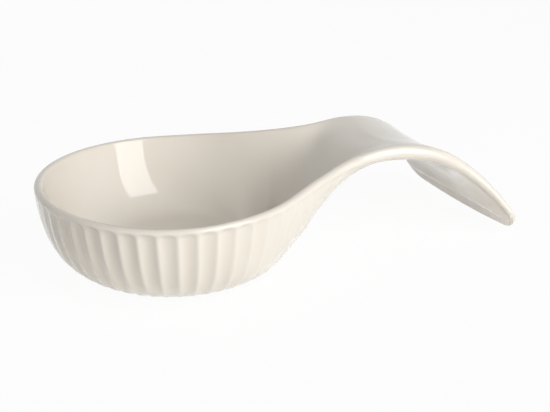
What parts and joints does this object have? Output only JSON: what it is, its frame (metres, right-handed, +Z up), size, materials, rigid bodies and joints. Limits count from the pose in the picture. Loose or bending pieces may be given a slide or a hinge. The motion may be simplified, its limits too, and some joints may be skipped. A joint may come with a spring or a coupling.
{
  "type": "spoon rest",
  "caption": "Ceramic spoon rest: a round bowl with a fluted outside, whose lip runs on into an arched handle with a flared, turned-down end.",
  "frame": {"origin": "on the table, under the middle of the whole length", "axes": "+X runs from the bowl out along the handle, +Z is up, and the object is the same on both sides of the XZ plane"},
  "size_m": [0.2192, 0.124, 0.0484],
  "materials": {
    "fired_clay": "matt, unglazed",
    "cream_glaze": "gloss"
  },
  "bodies": {
    "root": {"stoneware_body": "fired_clay", "glaze_coat": "cream_glaze", "base_glaze": "cream_glaze"}
  },
  "joints": []
}
